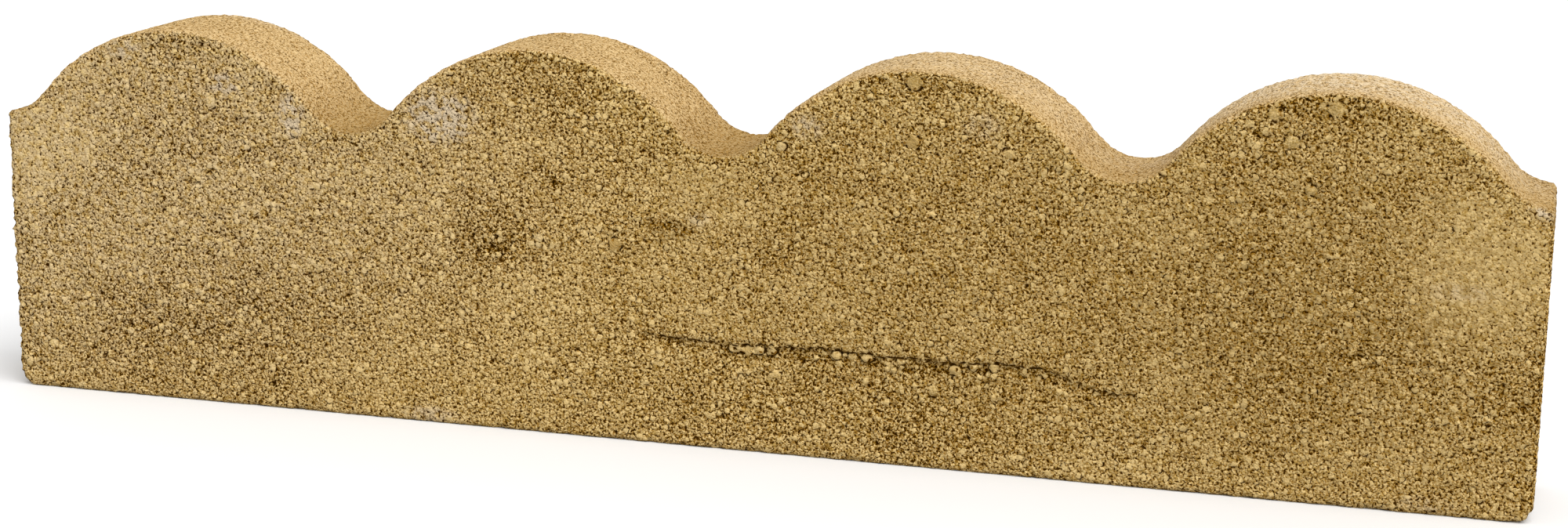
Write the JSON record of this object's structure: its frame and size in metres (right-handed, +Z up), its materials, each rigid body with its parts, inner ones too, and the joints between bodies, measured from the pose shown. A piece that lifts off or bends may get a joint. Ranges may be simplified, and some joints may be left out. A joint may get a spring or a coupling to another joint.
{
  "type": "scalloped lawn edging stone",
  "caption": "Long upright cast concrete block with a flat base, plain ends and a wavy scalloped top, laid end to end to edge a lawn or flower bed.",
  "frame": {"origin": "middle of the flat base, on the surface the stone stands on", "axes": "+X along the stone's length, +Y from the lawn face to the bed face, +Z up towards the scalloped top"},
  "size_m": [0.6, 0.05, 0.1499],
  "materials": {
    "buff_concrete": "matte"
  },
  "bodies": {
    "root": {"edging_stone": "buff_concrete"}
  },
  "joints": []
}
